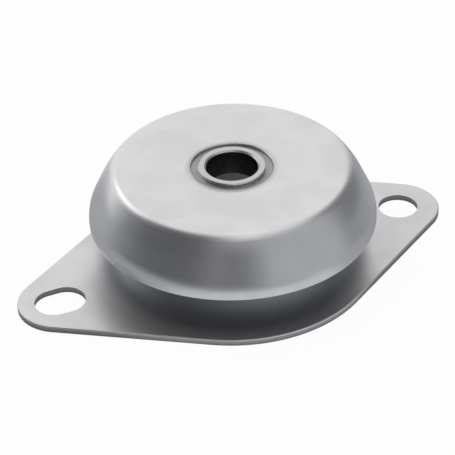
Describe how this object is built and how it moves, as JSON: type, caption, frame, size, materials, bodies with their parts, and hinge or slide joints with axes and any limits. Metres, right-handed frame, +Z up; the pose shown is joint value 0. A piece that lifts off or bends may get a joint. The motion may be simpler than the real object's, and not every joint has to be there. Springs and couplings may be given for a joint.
{
  "type": "machine mount",
  "caption": "Low bell-shaped rubber machine mount with a stainless cover, a diamond base plate with a hole and a slot, and a plain central bolt bush.",
  "frame": {"origin": "on the bolt axis, at the underside of the base plate", "axes": "+Z up along the bolt axis; +X along the plate's long axis, towards the round fixing hole; the slot is at -X"},
  "size_m": [0.147, 0.092, 0.036],
  "materials": {
    "stainless_sheet": "satin",
    "turned_steel": "machined",
    "zinc_plated_steel": "satin",
    "rubber": "matte"
  },
  "bodies": {
    "base": {"base_plate": "stainless_sheet", "rubber_body": "rubber"},
    "cover": {"bell_cover": "stainless_sheet", "centre_bush": "turned_steel", "rebound_washer": "zinc_plated_steel"}
  },
  "joints": [
    {"name": "cover_travel", "type": "slide", "parent": "base", "child": "cover", "axis": [0, 0, 1], "range_m": [-0.004, 0.0017], "stiffness_N_per_m": 200000, "deforming": ["rubber_body"]}
  ]
}
